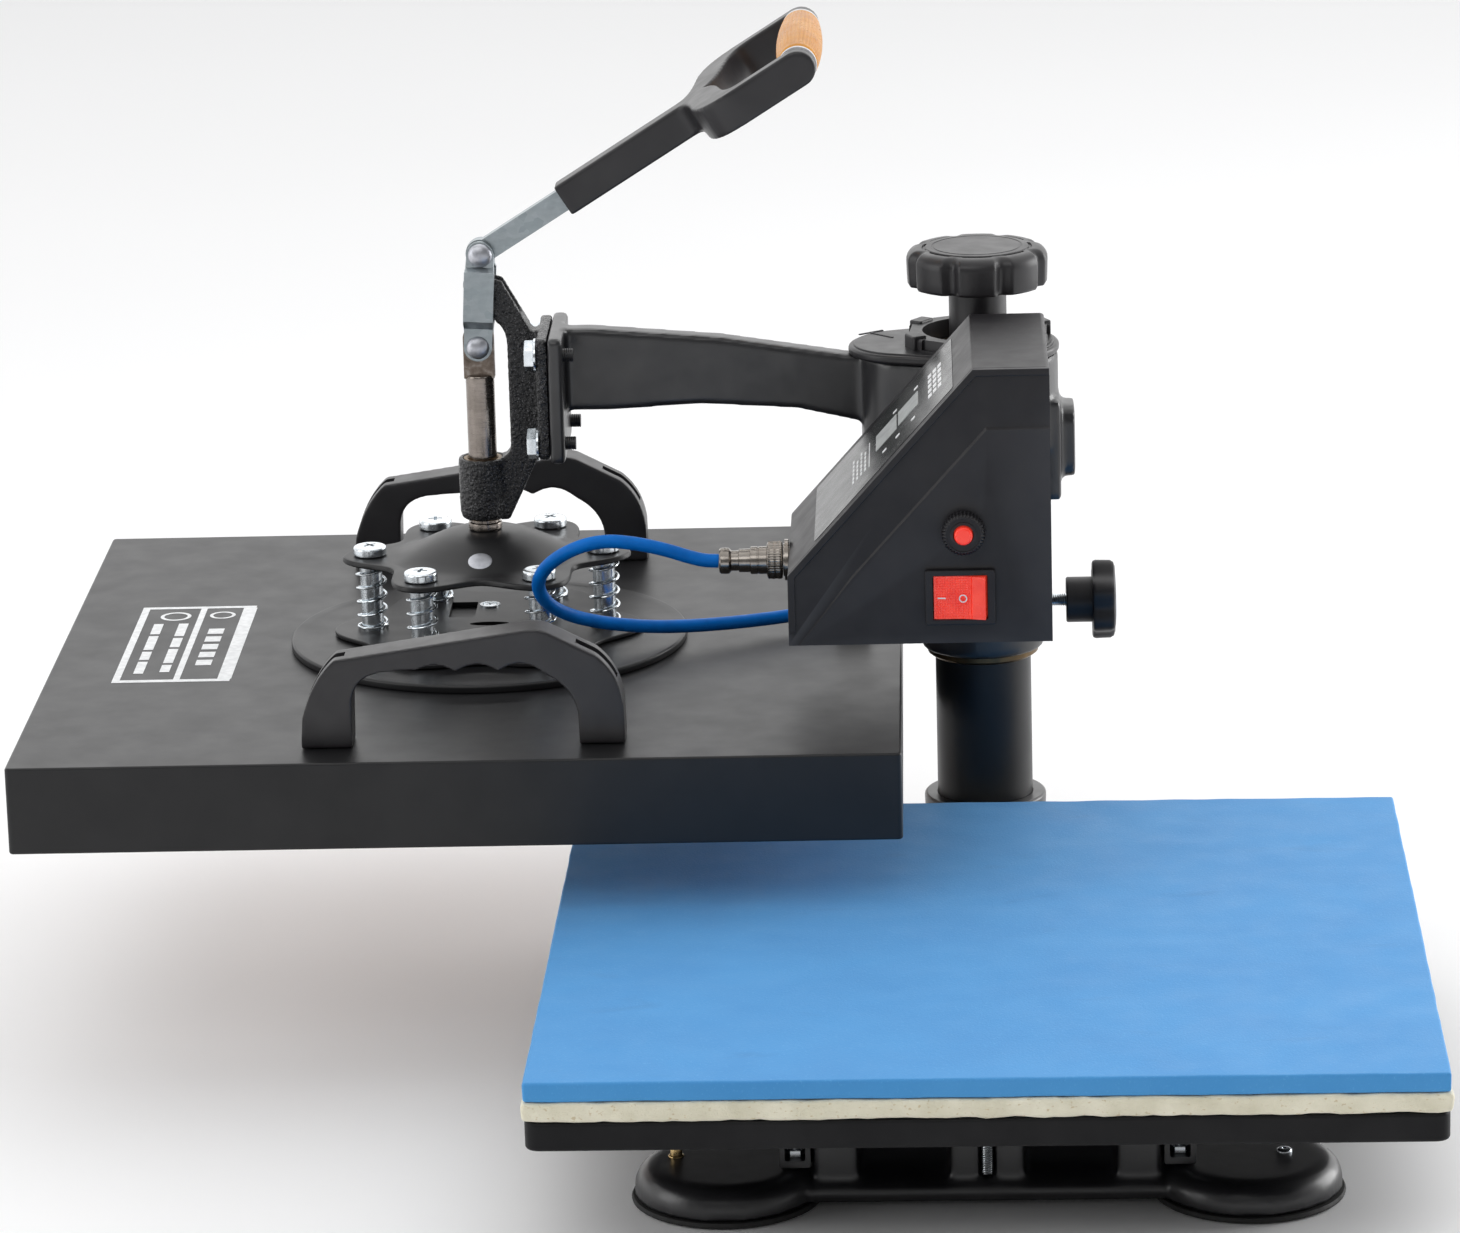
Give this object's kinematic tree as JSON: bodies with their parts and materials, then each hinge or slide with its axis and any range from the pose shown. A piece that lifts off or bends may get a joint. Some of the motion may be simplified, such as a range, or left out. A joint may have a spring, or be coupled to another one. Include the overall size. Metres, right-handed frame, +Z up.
{
  "type": "heat press",
  "caption": "Swing-away heat press with a square padded bed, a sprung heater head on a column arm, a toggle lever, a pressure knob and a wedge-shaped control box.",
  "frame": {"origin": "the column's axis at the level of the surface the press stands on", "axes": "+Z up, -Y from the column towards the bed and the user, the head swung away towards -X"},
  "size_m": [0.6298, 0.6273, 0.4451],
  "materials": {
    "black_coat": "satin black powder coat",
    "black_cast": "hammered black enamel on casting",
    "black_plastic": "fine-grained black plastic",
    "foot_rubber": "matt",
    "zinc": "bright zinc plate",
    "galvanised": "dull zinc plate with spangle",
    "nickel": "satin nickel",
    "bronze": "machined",
    "aluminium": "satin",
    "silicone": "matt closed-cell silicone foam",
    "felt": "flecked felt",
    "insulation": "fibre mat",
    "cable": "satin silicone sheath",
    "amber": "gloss",
    "red": "gloss"
  },
  "bodies": {
    "base": {"base_casting": "black_coat", "foot_front_left": "foot_rubber", "foot_front_right": "foot_rubber", "foot_rear": "foot_rubber", "column": "black_coat", "column_socket": "black_coat", "lower_platen": "black_coat", "felt_pad": "felt", "silicone_pad": "silicone", "platen_stud": "zinc", "bracket_left": "zinc", "bracket_right": "zinc"},
    "carriage": {"lift_bush": "bronze"},
    "pressure_knob": {"pressure_knob": "black_plastic", "pressure_screw": "zinc"},
    "arm": {"arm_hub": "black_cast", "hub_lid": "black_plastic", "head_bracket": "black_cast", "guide_bush": "bronze", "lever_pivot_pin": "zinc", "control_box": "black_plastic", "box_side_plate": "black_plastic", "switch_frame": "black_plastic", "breaker_bezel": "black_plastic", "cable_socket": "nickel", "cable_plug": "nickel", "heater_cable": "cable"},
    "switch": {"switch_rocker": "red"},
    "breaker": {"breaker_button": "red"},
    "clamp": {"clamp_knob": "black_plastic", "clamp_stud": "zinc"},
    "lever": {"lever_bar": "galvanised", "lever_grip": "black_plastic", "roller_axle": "zinc"},
    "roller": {"roller_grip": "amber"},
    "links": {"link_front": "galvanised", "link_rear": "galvanised", "upper_rivet": "zinc"},
    "ram": {"ram_shaft": "nickel", "spider_plate": "black_coat"},
    "platen": {"head_cover": "black_coat", "heater_plate": "aluminium", "insulation_mat": "insulation", "cover_disc": "black_coat", "spring_plate": "black_coat", "handle_front": "black_plastic", "handle_rear": "black_plastic", "cable_gland": "black_plastic", "float_bolt_1": "zinc", "float_bolt_2": "zinc", "float_bolt_3": "zinc", "float_bolt_4": "zinc", "float_bolt_5": "zinc", "float_bolt_6": "zinc", "float_spring_1": "zinc", "float_spring_2": "zinc", "float_spring_3": "zinc", "float_spring_4": "zinc", "float_spring_5": "zinc", "float_spring_6": "zinc"}
  },
  "joints": [
    {"name": "pressure_height", "type": "slide", "parent": "base", "child": "carriage", "axis": [0, 0, 1], "range_m": [-0.008, 0.012]},
    {"name": "pressure_turn", "type": "hinge", "parent": "carriage", "child": "pressure_knob", "pos_m": [0, 0, 0.3], "axis": [0, 0, 1], "range_deg": [-1441, 2161]},
    {"name": "head_swing", "type": "hinge", "parent": "carriage", "child": "arm", "pos_m": [0, 0, 0.25], "axis": [0, 0, 1], "range_deg": [-60, 89.27]},
    {"name": "switch_tilt", "type": "hinge", "parent": "arm", "child": "switch", "pos_m": [-0.00908, -0.15053, 0.2117], "axis": [0, 0, 1], "range_deg": [0, 16]},
    {"name": "breaker_press", "type": "slide", "parent": "arm", "child": "breaker", "axis": [-0.0127, 0.9999, 0], "range_m": [0, 0.002], "stiffness_N_per_m": 600, "springref_m": -0.001},
    {"name": "clamp_turn", "type": "hinge", "parent": "arm", "child": "clamp", "pos_m": [0.045, 0.00057, 0.168], "axis": [0.9999, 0.0127, 0], "range_deg": [0, 540]},
    {"name": "lever_pull", "type": "hinge", "parent": "arm", "child": "lever", "pos_m": [-0.23198, -0.00296, 0.3258], "axis": [0.0127, -0.9999, 0], "range_deg": [0, 155]},
    {"name": "roller_spin", "type": "hinge", "parent": "lever", "child": "roller", "pos_m": [-0.08001, -0.00102, 0.43443], "axis": [0.0127, -0.9999, 0], "continuous": true},
    {"name": "link_turn", "type": "hinge", "parent": "lever", "child": "links", "pos_m": [-0.23045, -0.00294, 0.34042], "axis": [0.0127, -0.9999, 0], "range_deg": [-143.3, 0.1]},
    {"name": "ram_slide", "type": "slide", "parent": "arm", "child": "ram", "axis": [0, 0, -1], "range_m": [-0.0001, 0.0269], "deforming": ["heater_cable"]},
    {"name": "platen_float", "type": "slide", "parent": "ram", "child": "platen", "axis": [0, 0, 1], "range_m": [0, 0.006], "stiffness_N_per_m": 18000, "springref_m": -0.004, "deforming": ["float_spring_1", "float_spring_2", "float_spring_3", "float_spring_4", "float_spring_5", "float_spring_6"]}
  ],
  "couplings": [
    {"joint": "pressure_turn", "follows": "pressure_height", "rad_per_m": 3141.6},
    {"joint": "link_turn", "follows": "lever_pull", "ratio": -0.92327},
    {"joint": "ram_slide", "follows": "lever_pull", "m_per_rad": 0.0099065}
  ]
}
